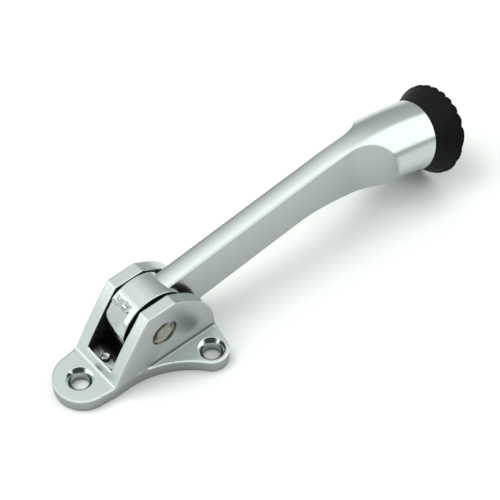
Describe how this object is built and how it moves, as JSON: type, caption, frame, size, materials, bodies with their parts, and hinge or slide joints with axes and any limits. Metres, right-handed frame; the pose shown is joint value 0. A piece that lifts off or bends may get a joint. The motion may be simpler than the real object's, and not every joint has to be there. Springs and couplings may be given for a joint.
{
  "type": "door holder",
  "caption": "Kick-down door holder: a screwed foot plate with two ears, a cast lever that turns on a riveted pin, and a ribbed rubber foot that grips the floor.",
  "frame": {"origin": "on the foot plate's underside, straight below the pivot pin, midway between the ears", "axes": "+Z out of the door face through the plate, +X from the pivot towards the lever's foot in its folded-down position, Y along the pivot pin"},
  "size_m": [0.1655, 0.0476, 0.0359],
  "materials": {
    "satin_chrome_casting": "satin chrome plate on a zinc die casting, roughness about 0.3, with brighter polished edges and countersinks",
    "nickel_rivet": "dull nickel-plated steel, slightly warm grey",
    "spring_steel": "dark oiled spring steel",
    "nylon_washer": "black nylon",
    "zinc_steel": "bright zinc-plated steel",
    "black_rubber": "matt black moulded rubber, rounded ribs on the sole"
  },
  "bodies": {
    "base": {"base_bracket": "satin_chrome_casting", "pivot_pin": "nickel_rivet", "pivot_washer_near": "nylon_washer", "pivot_washer_far": "nylon_washer", "leaf_spring": "spring_steel", "spring_rivet": "nickel_rivet"},
    "lever": {"lever": "satin_chrome_casting", "rubber_foot": "black_rubber", "foot_washer": "zinc_steel", "foot_screw": "zinc_steel"}
  },
  "joints": [
    {"name": "lever_pivot", "type": "hinge", "parent": "base", "child": "lever", "pos_m": [0, 0, 0.017], "axis": [0, -1, 0], "range_deg": [0, 170]}
  ]
}
